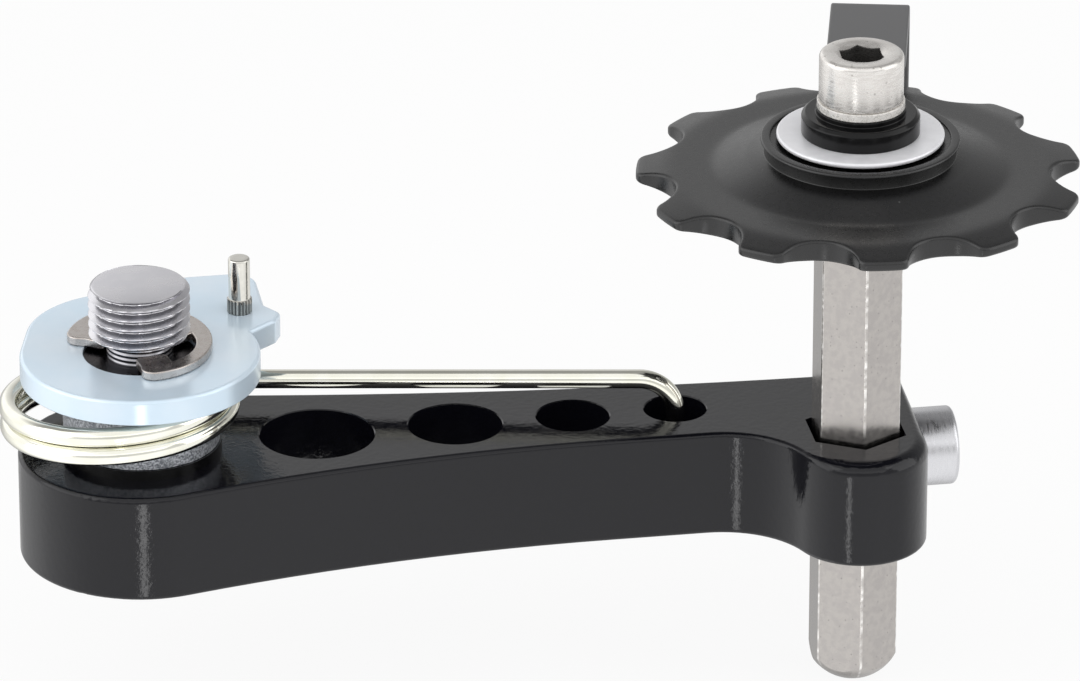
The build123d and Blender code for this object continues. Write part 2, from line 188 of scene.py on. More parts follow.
@dataclass(frozen=True)
class Finish:
    """A procedural surface finish on Object coordinates."""

    name: str
    colour: Triple
    second: Triple
    roughness: float
    metallic: float = 0.0
    specular: float = 0.5
    grain: Grain = Grain.MOTTLE
    grain_mm: float = 1.0
    cloud_detail: float = 4.0
    low: float = 0.4
    high: float = 0.6
    roughness_spread: float = 0.05
    relief_mm: float = 0.0
    fleck: Triple | None = None
    fleck_mm: float = 0.8
    fleck_reach: float = 0.2
    fleck_share: float = 0.5
    # Colour that the painted shading lays on: a deep tone for painted shade and reflection, a pale one for
    # the bar's painted glints.
    painted_shading_colour: Triple | None = None

    def build(self) -> Material:
        """Make the material: clouds mix two colours, shift the gloss and raise the relief.

        Flecks are laid over that colour, and then the painted shading colour where the piece's own attribute
        asks for it: painted shade on most pieces, a painted reflection under the spring's leg and painted
        glints on the bar.

        Returns:
            The new material.
        """
        material = blank(self.name)
        tree = material.node_tree
        shader = tree.nodes["Principled BSDF"].inputs
        shader["Metallic"].default_value = self.metallic
        shader["Specular IOR Level"].default_value = self.specular
        place = added(tree, "TexCoord", {}).outputs["Object"]
        scale = [finer / (self.grain_mm * MM) for finer in self.grain.value]
        scaled = added(tree, "Mapping", {"Vector": place, "Scale": scale}).outputs["Vector"]
        clouds = added(tree, "TexNoise", {"Vector": scaled, "Scale": 1.0, "Detail": self.cloud_detail})
        limits = {"From Min": self.low, "From Max": self.high}
        span = added(tree, "MapRange", {"Value": clouds.outputs["Fac"], **limits}).outputs["Result"]
        colour = mixed(tree, span, linear(self.colour), linear(self.second))
        if self.fleck:
            colour = mixed(tree, self.flecks(tree, place), colour, linear(self.fleck))
        # Painted shading: the piece's attribute mixes in painted shade, a painted reflection on the spring's
        # leg, and painted glints on the bar.
        if self.painted_shading_colour:
            painted_shading_share = added(tree, "Attribute", {}, attribute_name=PAINTED_SHADING).outputs["Fac"]
            colour = mixed(tree, painted_shading_share, colour, linear(self.painted_shading_colour))
        tree.links.new(colour, shader["Base Color"])
        spread = self.roughness_spread
        levels = {"To Min": self.roughness - spread, "To Max": self.roughness + spread}
        gloss = added(tree, "MapRange", {"Value": span, **levels})
        tree.links.new(gloss.outputs["Result"], shader["Roughness"])
        if self.relief_mm:
            bump = added(tree, "Bump", {"Height": span, "Distance": self.relief_mm * MM})
            tree.links.new(bump.outputs["Normal"], shader["Normal"])
        return material

    def flecks(self, tree: Tree, place: Socket) -> Socket:
        """Scatter small spots: near the middle of a cell, in a share of the cells.

        Args:
            tree: node tree of the material.
            place: Object coordinates.

        Returns:
            Output socket that is 1 inside a spot.
        """
        cells = added(tree, "TexVoronoi", {"Vector": place, "Scale": 1 / (self.fleck_mm * MM)}).outputs
        limits = {"From Min": self.fleck_reach, "From Max": self.fleck_reach / 2}
        spot = added(tree, "MapRange", {"Value": cells["Distance"], **limits})
        chance = added(tree, "SeparateColor", {"Color": cells["Color"]})
        chosen = computed(tree, "GREATER_THAN", chance.outputs["Red"], self.fleck_share)
        return computed(tree, "MULTIPLY", spot.outputs["Result"], chosen)


ARM_BLACK = Finish("arm_black", (12, 12, 18), (14, 14, 20), 0.1, specular=0.35, grain_mm=0.5,
                   roughness_spread=0.02, relief_mm=0.0055, fleck=(96, 97, 100), fleck_mm=9.0,
                   fleck_reach=0.016)
BUSH_BLACK = Finish("bush_black", (9, 9, 10), (12, 12, 13), 0.2, grain_mm=0.5)
ZINC_PALE_BLUE = Finish("zinc_pale_blue", (213, 231, 245), (223, 236, 247), 0.24, metallic=0.3, grain_mm=7.0,
                        low=0.35, high=0.65, roughness_spread=0.03)
CLIP_STEEL = Finish("clip_steel", (184, 177, 172), (194, 188, 184), 0.28, metallic=1.0, grain_mm=0.8,
                    roughness_spread=0.02)
# Its painted shading colour is painted shade on the knurl.
PIN_NICKEL = Finish("pin_nickel", (208, 206, 199), (214, 212, 205), 0.12, metallic=1.0, grain_mm=0.8,
                    painted_shading_colour=(84, 84, 82))
# Its painted shading colour is a painted reflection of the black arm under the spring's leg.
WIRE_PALE_YELLOW = Finish("wire_pale_yellow", (233, 232, 219), (238, 237, 227), 0.12, metallic=1.0,
                          grain_mm=3.0, roughness_spread=0.02, painted_shading_colour=(70, 71, 68))
SLEEVE_GREY = Finish("sleeve_grey", (132, 136, 143), (214, 217, 223), 0.4, metallic=0.8, grain_mm=0.22,
                     relief_mm=0.02)
# Its painted shading colour is painted shade under the thread's crests, round the neck and in the socket.
BOLT_STEEL = Finish("bolt_steel", (211, 210, 215), (218, 217, 221), 0.26, metallic=1.0, grain_mm=2.0,
                    roughness_spread=0.02, painted_shading_colour=(40, 40, 46))
# Its painted shading colour is pale: painted glints along the bar's rounded edges.
BAR_NICKEL = Finish("bar_nickel", (171, 167, 164), (178, 174, 170), 0.24, metallic=1.0, grain_mm=0.7,
                    roughness_spread=0.03, fleck=(138, 134, 132), fleck_mm=0.55, fleck_reach=0.15,
                    painted_shading_colour=(236, 234, 231))
GUARD_GREY = Finish("guard_grey", (83, 83, 84), (87, 87, 88), 0.42, grain_mm=0.5, roughness_spread=0.02)
# Its painted shading colour is painted shade in the hub's groove and recess.
WHEEL_GREY = Finish("wheel_grey", (22, 22, 23), (25, 25, 26), 0.29, specular=0.54, grain_mm=0.5,
                    roughness_spread=0.02, fleck=(88, 88, 88), fleck_mm=2.4, fleck_reach=0.045,
                    painted_shading_colour=(4, 4, 4))
BUSH_BRONZE = Finish("bush_bronze", (176, 138, 84), (150, 116, 70), 0.4, metallic=1.0, grain_mm=0.3)
CAP_BRIGHT = Finish("cap_bright", (233, 233, 236), (238, 238, 241), 0.36, metallic=0.3, grain_mm=1.5)
SPACER_BLACK = Finish("spacer_black", (8, 8, 9), (10, 10, 11), 0.16, specular=0.24, grain_mm=0.6,
                      roughness_spread=0.02)
# Its painted shading colour is painted shade in the screw's socket.
SCREW_STEEL = Finish("screw_steel", (210, 206, 202), (224, 221, 217), 0.26, metallic=0.75,
                     grain=Grain.TURNED_ON_Z, grain_mm=0.6, fleck=(180, 176, 172), fleck_mm=0.7,
                     painted_shading_colour=(22, 21, 20))
# Its painted shading colour is painted shade in the clamp screw's socket.
CLAMP_STEEL = Finish("clamp_steel", (200, 200, 203), (206, 206, 209), 0.3, metallic=1.0,
                     grain=Grain.TURNED_ON_X, grain_mm=0.6, painted_shading_colour=(48, 46, 43))
WASHER_STEEL = Finish("washer_steel", (214, 211, 206), (226, 223, 219), 0.3, metallic=0.45, grain_mm=0.4)
FINISHES = {
    "arm": ARM_BLACK,
    "upper_bush": BUSH_BLACK,
    "lower_bush": BUSH_BLACK,
    "stop_plate": ZINC_PALE_BLUE,
    "retaining_clip": CLIP_STEEL,
    "spring_collar": SLEEVE_GREY,
    "chain_guard": GUARD_GREY,
    "lower_spacer": SPACER_BLACK,
    "upper_spacer": SPACER_BLACK,
    "lower_dust_cap": CAP_BRIGHT,
    "upper_dust_cap": CAP_BRIGHT,
    "pulley_bush": BUSH_BRONZE,
    "lock_washer": WASHER_STEEL,
    "pivot_bolt": BOLT_STEEL,
    "stop_pin": PIN_NICKEL,
    "tension_spring": WIRE_PALE_YELLOW,
    "chainline_bar": BAR_NICKEL,
    "pulley_wheel": WHEEL_GREY,
    "pulley_bolt": SCREW_STEEL,
    "clamp_bolt": CLAMP_STEEL,
}


def rounded(corners: Sequence[Triple], steps: int = 5) -> np.ndarray:
    """Open profile through corners, each turned by an arc of its own radius.

    An arc of radius r touches both sides at r times tan(half the turn) from the corner, and its points are
    swept from one touching point to the other round the arc's middle. A radius of 0 keeps the sharp corner.

    Args:
        corners: across, up and corner radius of each corner in turn.
        steps: number of points on each arc.

    Returns:
        Points of the profile, one per row.
    """
    points = np.asarray(corners, float)
    pieces = [points[:1, :2]]
    for before, corner, after in zip(points[:-2], points[1:-1], points[2:]):
        radius = corner[2]
        inward = (before - corner)[:2] / np.linalg.norm((before - corner)[:2])
        outward = (after - corner)[:2] / np.linalg.norm((after - corner)[:2])
        opening = math.acos(float(np.clip(inward @ outward, -1, 1)))
        if radius <= 0 or opening > math.pi - STRAIGHT:
            pieces.append(corner[None, :2])
            continue
        bisector = (inward + outward) / np.linalg.norm(inward + outward)
        middle = corner[:2] + bisector * radius / math.sin(opening / 2)
        start = corner[:2] + inward * radius / math.tan(opening / 2) - middle
        end = corner[:2] + outward * radius / math.tan(opening / 2) - middle
        turn = math.pi - opening
        share = np.linspace(0, 1, steps)[:, None]
        arc = (np.sin((1 - share) * turn) * start + np.sin(share * turn) * end) / math.sin(turn)
        pieces.append(middle + arc)
    pieces.append(points[-1:, :2])
    return np.concatenate(pieces)


def hexagon(angles: np.ndarray, across_flats: float) -> np.ndarray:
    """Hexagon by angle: half the flats over the cosine of the angle from the nearest flat's middle.

    Args:
        angles: directions in radians.
        across_flats: distance between opposite flats.

    Returns:
        Radius at each angle.
    """
    return across_flats / 2 / np.cos((angles + SIXTH / 2) % SIXTH - SIXTH / 2)


def box_list(box: tuple[Vector, Vector]) -> list[list[float]]:
    """Corners of a box as plain lists."""
    return [list(corner) for corner in box]


def in_mm(box: tuple[Vector, Vector]) -> np.ndarray:
    """Lower and upper corner of a box in millimetres, one per row."""
    return np.array(box_list(box)) / MM


def placed(name: str, data: bpy.types.ID) -> Piece:
    """Add an object at the origin.

    Args:
        name: name of the object.
        data: mesh, lamp or camera that it shows.

    Returns:
        The new object.
    """
    piece = bpy.data.objects.new(name, data)
    bpy.context.collection.objects.link(piece)
    return piece


def skin(name: str, rows: np.ndarray, ring: bool = False, crease: float = 35.0,
         shade: np.ndarray | None = None) -> Piece:
    """Mesh of quads through closed rings of points, turned so that its faces point outwards.

    Args:
        name: name of the new piece.
        rows: rings, points and coordinates in millimetres.
        ring: True joins the last ring to the first, False fills both ends with fans.
        crease: angle in degrees past which an edge stays sharp.
        shade: share of the finish's painted shading colour, from 0 to 1, by ring or by ring and point.

    Returns:
        The new object, at the origin.
    """
    count, around = rows.shape[:2]
    ring_index = np.arange(count if ring else count - 1)[:, None]
    spot = np.arange(around)[None, :]
    ahead = (spot + 1) % around
    here = ring_index * around
    after = (ring_index + 1) % count * around
    quads = np.stack([here + spot, here + ahead, after + ahead, after + spot], axis=-1).reshape(-1, 4)
    points = rows.reshape(-1, 3)
    fans = np.empty((0, 3), int)
    if not ring:
        total = count * around
        first = np.stack([np.full(around, total), ahead[0], spot[0]], axis=-1)
        end = total - around
        last = np.stack([np.full(around, total + 1), end + spot[0], end + ahead[0]], axis=-1)
        points = np.concatenate([points, [rows[0].mean(0), rows[-1].mean(0)]])
        fans = np.concatenate([first, last])
    halves = np.concatenate([quads[:, [0, 1, 2]], quads[:, [0, 2, 3]], fans])
    one, two, three = (points[halves[:, corner]] for corner in range(3))
    if np.einsum("ij,ij->", one, np.cross(two, three)) < 0:
        quads = quads[:, ::-1]
        fans = fans[:, ::-1]
    mesh = bpy.data.meshes.new(name)
    mesh.from_pydata((points * MM).tolist(), [], quads.tolist() + fans.tolist())
    # Painted shading is stored per point for the finish to lay on.
    if shade is not None:
        spread = np.broadcast_to(shade.reshape(count, -1), (count, around))
        values = spread.reshape(-1) if ring else np.append(spread, [spread[0].mean(), spread[-1].mean()])
        layer = mesh.attributes.new(PAINTED_SHADING, "FLOAT", "POINT")
        layer.data.foreach_set("value", values.astype(np.float32))
    mesh.validate()
    mesh.shade_smooth()
    mesh.set_sharp_from_angle(angle=math.radians(crease))
    return placed(name, mesh)


def turned(radius: np.ndarray, height: np.ndarray, angles: np.ndarray, place: Sequence[float],
           along: Along = Along.Z) -> np.ndarray:
    """Rings of a turned piece: each point lies at its radius round the axis and at its height along it.

    Args:
        radius: radius by ring, or by ring and angle.
        height: height by ring, or by ring and angle.
        angles: directions round the axis in radians.
        place: point that the axis goes through, from which heights count.
        along: direction of the axis.

    Returns:
        Rings, points and coordinates.
    """
    radius = np.broadcast_to(radius.reshape(len(radius), -1), (len(radius), len(angles)))
    height = np.broadcast_to(height.reshape(len(height), -1), radius.shape)
    across = radius * np.cos(angles)
    side = radius * np.sin(angles)
    order = (height, across, side) if along is Along.X else (across, side, height)
    return np.stack(order, axis=-1) + np.asarray(place, float)


def around_angles(count: int) -> np.ndarray:
    """Evenly spaced directions of a full turn, in radians."""
    return np.arange(count) * (FULL_TURN / count)


def dress(piece: Piece, finish: Material) -> None:
    """Give a piece one finish in place of any it has."""
    piece.data.materials.clear()
    piece.data.materials.append(finish)


def stand_in(piece: Piece, node: str, body: str, finish: Material) -> None:
    """Dress a new piece, let it ride on a body and show it in place of a CAD node.

    Args:
        piece: the new piece.
        node: CAD node that it stands for.
        body: CAD body that it rides on.
        finish: material of the piece.
    """
    dress(piece, finish)
    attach(piece, body)
    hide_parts(node)
    LOG.info("%s stands for %s with %d vertices", piece.name, node, len(piece.data.vertices))


@dataclass
class SoftEdges:
    """Copy of a CAD node whose sharp edges are rounded."""

    node: str
    slot: str
    body: str
    width: float
    sharp_angle: float = 40.0
    flat_angle: float = 0.5
    join: float = 0.001
    segments: int = 3

    def build(self, source: Piece, finish: Material) -> None:
        """Join the node's loose triangles, merge its flat faces and round each sharp edge with a bevel.

        Args:
            source: object of the CAD node.
            finish: material of the piece.
        """
        shape = bmesh.new()
        shape.from_mesh(source.data)
        bmesh.ops.remove_doubles(shape, verts=shape.verts, dist=self.join * MM)
        flat = math.radians(self.flat_angle)
        bmesh.ops.dissolve_limit(shape, angle_limit=flat, verts=shape.verts, edges=shape.edges)
        mesh = bpy.data.meshes.new(f"soft_{self.node}")
        shape.to_mesh(mesh)
        shape.free()
        for name in [layer.name for layer in mesh.attributes if layer.name == "custom_normal"]:
            mesh.attributes.remove(mesh.attributes[name])
        mesh.shade_smooth()
        mesh.set_sharp_from_angle(angle=math.radians(self.sharp_angle))
        piece = placed(mesh.name, mesh)
        bevel = piece.modifiers.new("soft_edges", "BEVEL")
        bevel.width = self.width * MM
        bevel.segments = self.segments
        bevel.limit_method = "ANGLE"
        bevel.angle_limit = math.radians(self.sharp_angle)
        bevel.harden_normals = True
        stand_in(piece, self.node, self.body, finish)


@dataclass
class DustCap:
    """Thin bright washer with rolled edges."""

    node: str
    bore: float = 2.6
    edge: float = 0.24
    sides: int = 160
    arc_steps: int = 8

    def build(self, finish: Material) -> None:
        """Turn a ring with rounded rims that fills its CAD node's box.

        Args:
            finish: material of the cap.
        """
        low, high = in_mm(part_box(self.node))
        outer = (high[0] - low[0]) / 2
        middle = (low + high) / 2
        profile = rounded([
            (self.bore, low[2], 0),
            (outer, low[2], self.edge),
            (outer, high[2], self.edge),
            (self.bore, high[2], 0),
        ], self.arc_steps)
        rows = turned(profile[:, 0], profile[:, 1], around_angles(self.sides), (*middle[:2], 0))
        stand_in(skin(f"rolled_{self.node}", rows, ring=True), self.node, "bar", finish)


@dataclass
class CapScrew:
    """Socket cap screw with a turned head."""

    name: str
    node: str
    slot: str
    body: str
    along: Along
    radius: float = 2.5
    head_height: float = 4.85
    head_edge: float = 0.5
    seat_edge: float = 0.15
    socket: float = 4.0
    socket_depth: float = 2.6
    socket_edge: float = 0.15
    # Share of painted shade at the socket's floor, just below the wall's top and at the wall's top.
    socket_shade: Triple = (0.85, 0.8, 0.2)
    lead_radius: float = 2.55
    lead_slope: float = 0.6
    point: float = 0.5
    sides: int = 96
    arc_steps: int = 8

    def build(self, finish: Material) -> None:
        """Turn the screw from its CAD node's box: socket floor, hexagonal wall, head, shank and point.

        The socket's wall ends where a cone from the lead-in circle meets it, so its upper edge is scalloped.
        The socket's floor and wall carry painted shade.

        Args:
            finish: material of the screw.
        """
        low, high = in_mm(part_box(self.node))
        axis = self.along.value
        place = (low + high) / 2
        place[axis] = high[axis] - self.head_height
        length = place[axis] - low[axis]
        head_radius = (high[1] - low[1]) / 2
        profile = rounded([
            (self.lead_radius, self.head_height, 0),
            (head_radius, self.head_height, self.head_edge),
            (head_radius, 0, self.seat_edge),
            (self.radius, 0, 0),
            (self.radius, self.point - length, 0),
            (self.radius - self.point, -length, 0),
        ], self.arc_steps)
        angles = around_angles(self.sides)
        wall = hexagon(angles, self.socket)
        floor = np.full_like(wall, self.head_height - self.socket_depth)
        rim = self.head_height - (self.lead_radius - wall) * self.lead_slope
        level = np.ones((1, self.sides))
        radius = np.concatenate([[wall, wall, wall], profile[:, :1] * level])
        height = np.concatenate([[floor, rim - self.socket_edge, rim], profile[:, 1:] * level])
        # Painted shade in the socket, none on the head, shank and point.
        shade = np.concatenate([self.socket_shade, np.zeros(len(profile))])
        piece = skin(self.name, turned(radius, height, angles, place, self.along), shade=shade)
        stand_in(piece, self.node, self.body, finish)


@dataclass
class PivotGroup:
    """Hanger bolt with its thread, and the stop pin."""

    sides: int = 180
    thread_radius: float = 5.0
    thread_depth: float = 0.68
    thread_pitch: float = 1.0
    thread_rows: int = 20
    thread_start: float = 0.32
    thread_chamfer: float = 0.42
    thread_lead: float = 0.2
    flank_slope: float = 2.5
    crest_cut: float = 0.08
    # Painted shade on the flank under each crest: its place in the wave, width, reach and strongest share.
    painted_shade_phase: float = 0.16
    painted_shade_width: float = 0.2
    painted_shade_reach: float = 1.6
    painted_darkest: float = 0.85
    end_edge: float = 0.25
    end_drop: float = 0.04
    groove_radius: float = 3.3
    neck_ridge: float = 0.5
    neck_depth: float = 0.1
    neck_foot: float = 0.1
    neck_head: float = 0.05
    neck_rows: int = 31
    neck_shade: float = 0.5
    shank_recess: float = 0.3
    shank_radius: float = 5.5
    head_radius: float = 7.9
    head_height: float = 4.0
    head_edge: float = 0.6
    socket: float = 5.0
    socket_depth: float = 5.0
    socket_mouth: float = 2.9
    socket_lead: float = 0.12
    socket_shade: float = 0.9
    pin_radius: float = 1.08
    pin_edge: float = 0.2
    knurl_height: float = 1.5
    knurl_ridges: int = 20
    knurl_points: int = 8
    knurl_depth: float = 0.09
    knurl_foot_edge: float = 0.1
    knurl_top_edge: float = 0.12
    knurl_neck_edge: float = 0.05
    # Share of painted shade on the knurl's crests; its valleys get it in full.
    knurl_shade: float = 0.3

    def thread(self, angles: np.ndarray, length: float) -> tuple[np.ndarray, np.ndarray, np.ndarray]:
        """Thread: the radius falls from crest to root as a clipped triangle wave.

        The wave's phase is the height over the pitch, less the share of a full turn.

        Args:
            angles: directions round the bolt in radians.
            length: height of the threaded end.

        Returns:
            Radius, height and painted shade of each ring, by angle; the flank under each crest gets the most
            painted shade.
        """
        height = np.arange(0, length, self.thread_pitch / self.thread_rows)[:, None]
        phase = ((height - self.thread_start) / self.thread_pitch - angles / FULL_TURN) % 1
        flank = np.clip(self.flank_slope * np.abs(phase - 0.5) - self.crest_cut, 0, 1)
        lead = np.minimum(length - height, height + self.thread_lead)
        limit = self.thread_radius - self.thread_chamfer + lead
        radius = np.minimum(self.thread_radius - self.thread_depth * flank, limit)
        painted_shade = np.clip(self.painted_shade_reach - np.abs(phase - self.painted_shade_phase) / self.painted_shade_width, 0, 1)
        return radius, np.repeat(height, len(angles), axis=1), self.painted_darkest * painted_shade

    def bolt(self, finish: Material) -> None:
        """Turn the bolt: socket, head, shank, clip groove and helical thread.

        Args:
            finish: material of the bolt.
        """
        low, high = in_mm(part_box("pivot_bolt"))
        bottom, top = low[2], high[2]
        angles = around_angles(self.sides)
        level = np.ones((1, self.sides))
        wall = hexagon(angles, self.socket)
        shank_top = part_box("stop_plate")[1][2] / MM - self.shank_recess
        body = rounded([
            (self.socket_mouth, bottom, 0),
            (self.head_radius, bottom, self.head_edge),
            (self.head_radius, bottom + self.head_height, 0),
            (self.shank_radius, bottom + self.head_height, 0),
            (self.shank_radius, shank_top, 0),
            (self.groove_radius, shank_top, 0),
        ])
        neck_height = np.linspace(shank_top + self.neck_foot, -self.neck_head, self.neck_rows)
        ridges = np.sin(math.pi * neck_height / self.neck_ridge) ** 2
        neck_radius = self.groove_radius - self.neck_depth * ridges
        shaft = np.concatenate([body, np.stack([neck_radius, neck_height], axis=1)])
        # Painted shade: the step at the shank's top, the body's last two corners, gets it in full, and the
        # neck above it less.
        painted_shading_share = np.zeros((len(shaft), 1))
        painted_shading_share[len(body) - 2:] = 1.0
        painted_shading_share[len(body):] = self.neck_shade
        radius, height, painted_shade = self.thread(angles, top)
        end_radius = self.thread_radius - self.thread_chamfer
        ends = np.array([[end_radius, top - self.end_drop], [end_radius - self.end_edge, top]])
        floor = np.array([[bottom + self.socket_depth], [bottom + self.socket_lead]])
        radius = np.concatenate([[wall, wall], shaft[:, :1] * level, radius, ends[:, :1] * level])
        height = np.concatenate([floor * level, shaft[:, 1:] * level, height, ends[:, 1:] * level])
        # Painted shade in the socket, full at its floor.
        socket = np.array([[1.0], [self.socket_shade]])
        shade = np.concatenate([socket * level, painted_shading_share * level, painted_shade, 0 * ends[:, :1] * level])
        piece = skin("hanger_bolt", turned(radius, height, angles, (0, 0, 0)), crease=40, shade=shade)
        stand_in(piece, "pivot_bolt", "hanger_side", finish)

    def pin(self, finish: Material) -> None:
        """Turn the stop pin: its knurl is a ring whose radius ripples with the angle.

        Args:
            finish: material of the pin.
        """
        low, high = in_mm(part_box("stop_pin"))
        plate_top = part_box("stop_plate")[1][2] / MM
        knurl_top = plate_top + self.knurl_height
        outer = (high[0] - low[0]) / 2
        profile = rounded([
            (self.pin_radius, low[2], 0),
            (self.pin_radius, plate_top, 0),
            (outer, plate_top, self.knurl_foot_edge),
            (outer, knurl_top, self.knurl_top_edge),
            (self.pin_radius, knurl_top, self.knurl_neck_edge),
            (self.pin_radius, high[2], self.pin_edge),
            (self.pin_radius / 2, high[2], 0),
        ])
        angles = around_angles(self.knurl_ridges * self.knurl_points)
        ripple = np.abs(np.sin(angles * self.knurl_ridges / 2))
        share = np.clip((profile[:, :1] - self.pin_radius) / (outer - self.pin_radius), 0, 1)
        middle = ((low + high) / 2)[:2]
        radius = profile[:, :1] - share * self.knurl_depth * ripple
        # Painted shade over the knurl, strongest in its valleys.
        shade = share * (self.knurl_shade + (1 - self.knurl_shade) * ripple)
        piece = skin("knurled_pin", turned(radius, profile[:, 1], angles, (*middle, 0)), shade=shade)
        stand_in(piece, "stop_pin", "hanger_side", finish)


@dataclass
class SpringGroup:
    """Torsion spring: two leaning turns, a leg into the arm's last hole and a hook into the plate."""

    wire_radius: float = 0.95
    wire_sides: int = 28
    coil_radius: float = 10.9
    coil_pitch: float = 1.95
    coil_turns: float = 2.0
    coil_offset: float = -2.05
    coil_steps: int = 240
    lean_x: float = 0.035
    lean_y: float = -0.05
    arm_top: float = -12.15
    plate_top: float = -1.85
    leg_height: float = 2.4
    leg_bend: float = 3.6
    leg_tail: float = 3.0
    leg_hole_x: float = 53.3
    leg_steps: int = 40
    leg_bend_steps: int = 16
    hook_bend: float = 1.6
    hook_clearance: float = 0.25
    hook_steps: int = 12
    seam_way: Triple = (0.31, 0.0, 0.95)
    # Painted reflection of the black arm on the leg's underside: how fast it grows downwards and where it
    # starts.
    painted_reflection_slope: float = 1.6
    painted_reflection_start: float = 0.35
    painted_darkest: float = 0.85

    def coil(self) -> tuple[np.ndarray, np.ndarray, np.ndarray]:
        """Coil path: a helix about an axis that leans a little, from the leg up to the hook.

        Returns:
            Points of the path, and its direction at the leg and at the hook.
        """
        up = np.array([-self.lean_x, -self.lean_y, 1.0])
        up /= np.linalg.norm(up)
        side = np.array([1.0, 0.0, self.lean_x])
        side -= up * (side @ up)
        side /= np.linalg.norm(side)
        back = np.cross(up, side)
        reach = self.leg_hole_x - self.coil_offset
        start = math.pi / 2 - math.asin(self.coil_radius / reach)
        turn = start + np.linspace(0, FULL_TURN * self.coil_turns, self.coil_steps)[:, None]
        climb = self.coil_pitch / FULL_TURN * up
        points = self.coil_radius * (np.cos(turn) * side + np.sin(turn) * back) + (turn - start) * climb
        points[:, 0] += self.coil_offset
        points[:, 2] += self.arm_top + self.leg_height - points[0, 2]
        ends = turn[[0, -1]]
        ways = self.coil_radius * (np.cos(ends) * back - np.sin(ends) * side) + climb
        first, last = ways / np.linalg.norm(ways, axis=1)[:, None]
        return points, first, last

    @staticmethod
    def bend(start: np.ndarray, way: np.ndarray, end: np.ndarray,
             count: int) -> tuple[np.ndarray, np.ndarray]:
        """Arc from a point along a direction to another point.

        Its radius is the gap between the points squared, over twice the gap's part across the direction.

        Args:
            start: first point.
            way: direction at the first point.
            end: last point.
            count: number of points after the first.

        Returns:
            Points of the arc after the first, and the direction at its end.
        """
        gap = end - start
        across = gap - way * (gap @ way)
        sideways = np.linalg.norm(across)
        across /= sideways
        radius = (gap @ gap) / (2 * sideways)
        turn = 2 * math.atan2(sideways, gap @ way)
        angle = np.linspace(0, turn, count + 1)[1:, None]
        points = start + radius * (np.sin(angle) * way + (1 - np.cos(angle)) * across)
        return points, math.cos(turn) * way + math.sin(turn) * across

    def path(self) -> np.ndarray:
        """Whole wire from the leg's tail to the hook's end.

        Returns:
            Points of the wire's middle line.
        """
        coil, first, last = self.coil()
        level = np.array([1.0, 1.0, 0.0])
        up = np.array([0.0, 0.0, 1.0])
        leg_way = -first
        plan = np.linalg.norm(leg_way * level)
        reach = self.leg_hole_x - self.coil_offset
        run = math.sqrt(reach**2 - self.coil_radius**2) - self.leg_bend
        leg_end = coil[0] + leg_way * run / plan
        corner_end = leg_end + (leg_way * level / plan - up) * self.leg_bend
        corner, tail_way = self.bend(leg_end, leg_way, corner_end, self.leg_bend_steps)
        tail = corner[-1] + tail_way * self.leg_tail
        hook_end = coil[-1] + (last * level / np.linalg.norm(last * level) + up) * self.hook_bend
        hook, hook_way = self.bend(coil[-1], last, hook_end, self.hook_steps)
        top = hook[-1] + hook_way * (self.plate_top - self.hook_clearance - hook[-1][2])
        leg = leg_end + (coil[0] - leg_end) * np.linspace(0, 1, self.leg_steps)[:, None]
        return np.concatenate([[tail], corner[::-1], leg, coil[1:], hook, [top]])

    def wire(self, finish: Material) -> None:
        """Carry a circle along the wire's path, square to it, with each ring's top towards the seam's way.

        The wire winds between the hanger side and the arm, and the leg's underside carries a painted
        reflection of the black arm.

        Args:
            finish: material of the wire.
        """
        path = self.path()
        way = np.gradient(path, axis=0)
        way /= np.linalg.norm(way, axis=1)[:, None]
        side = np.cross(way, self.seam_way)
        side /= np.linalg.norm(side, axis=1)[:, None]
        top = np.cross(side, way)
        angles = around_angles(self.wire_sides)[None, :, None]
        ring = np.cos(angles) * side[:, None] + np.sin(angles) * top[:, None]
        # Painted reflection: the leg's underside, past the coil, is darkened as if it mirrored the black arm.
        below = np.clip(-self.painted_reflection_slope * ring[..., 2] - self.painted_reflection_start, 0, 1)
        leg = np.clip((path[:, 0] - self.coil_radius) / self.wire_radius, 0, 1)[:, None]
        rows = path[:, None] + self.wire_radius * ring
        piece = skin("spring_wire", rows, crease=60, shade=self.painted_darkest * leg * below)
        dress(piece, finish)
        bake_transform(piece, "hanger_side", "arm", start=(0, 0, -4.1 * MM), end=(0, 0, -8.5 * MM))
        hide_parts("tension_spring")
        LOG.info("%s winds between the plate and the arm", piece.name)


